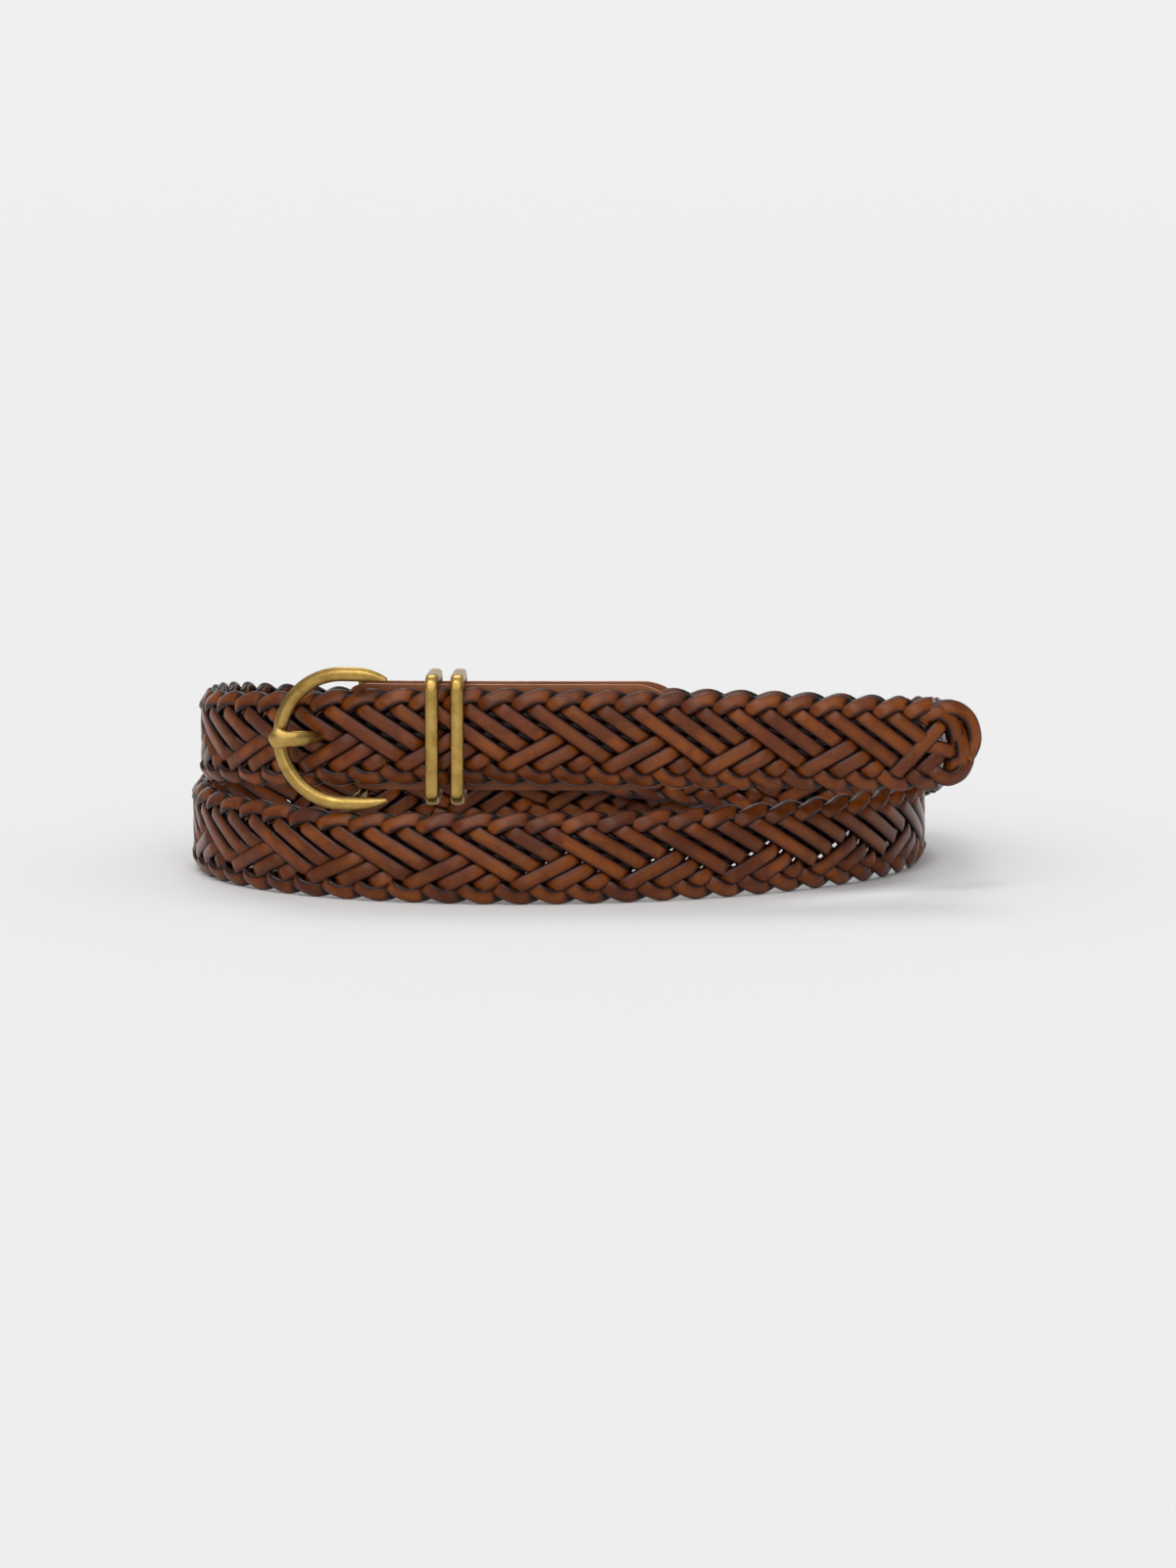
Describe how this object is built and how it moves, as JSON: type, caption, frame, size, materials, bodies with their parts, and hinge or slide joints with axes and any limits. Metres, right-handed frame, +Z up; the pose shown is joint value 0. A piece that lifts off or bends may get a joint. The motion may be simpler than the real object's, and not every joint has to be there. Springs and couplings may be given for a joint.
{
  "type": "braided leather belt",
  "caption": "Braided leather belt standing on its edge, wound into a coil and fastened, with a horseshoe buckle, a prong, a plain tab and keeper loops.",
  "frame": {"origin": "bottom centre of the whole belt's box, on the surface that the belt stands on", "axes": "+X along the front of the coil, towards the free end; -Y towards the viewer, the way the buckle faces; +Z up, across the strap"},
  "size_m": [0.2048, 0.15, 0.0595],
  "materials": {
    "braided_leather": "satin",
    "tab_leather": "satin",
    "buckle_brass": "satin",
    "keeper_brass": "satin"
  },
  "bodies": {
    "root": {"braided_strap": "braided_leather", "leather_tab": "tab_leather", "buckle_frame": "buckle_brass", "buckle_prong": "buckle_brass", "keeper_left": "keeper_brass", "keeper_right": "keeper_brass"}
  },
  "joints": []
}
